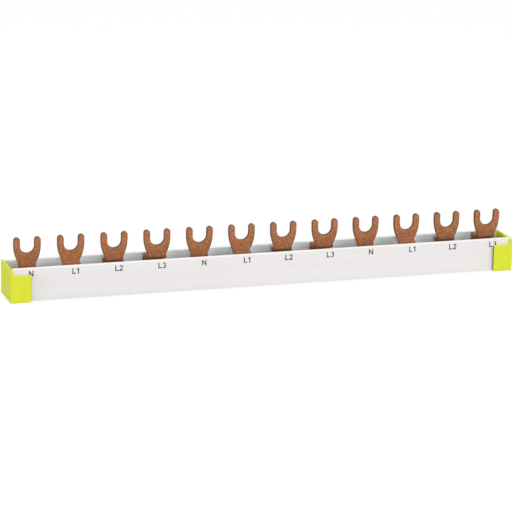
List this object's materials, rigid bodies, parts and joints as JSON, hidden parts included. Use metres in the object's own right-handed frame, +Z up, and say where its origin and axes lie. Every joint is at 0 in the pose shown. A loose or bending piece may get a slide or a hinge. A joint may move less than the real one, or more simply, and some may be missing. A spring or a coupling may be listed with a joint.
{
  "type": "comb busbar",
  "caption": "Comb busbar: stamped copper bars with joggled fork terminals in one row, standing in an open insulating trough with a push-on cap at each end.",
  "frame": {"origin": "middle of the underside, on the plane that the end caps stand on", "axes": "+X along the row of forks, from the first neutral fork to the last phase 3 fork; +Y to the back, away from the marked front face; +Z up, out of the trough"},
  "size_m": [0.2154, 0.018, 0.0247],
  "materials": {
    "trough": "satin, light grey extruded plastic",
    "copper": "stamped bare copper, mottled satin",
    "end_cap": "satin, lime green moulded plastic"
  },
  "bodies": {
    "root": {"trough_housing": "trough", "neutral_bar": "copper", "phase_bar_1": "copper", "phase_bar_2": "copper", "phase_bar_3": "copper", "left_end_cap": "end_cap", "right_end_cap": "end_cap"}
  },
  "joints": []
}
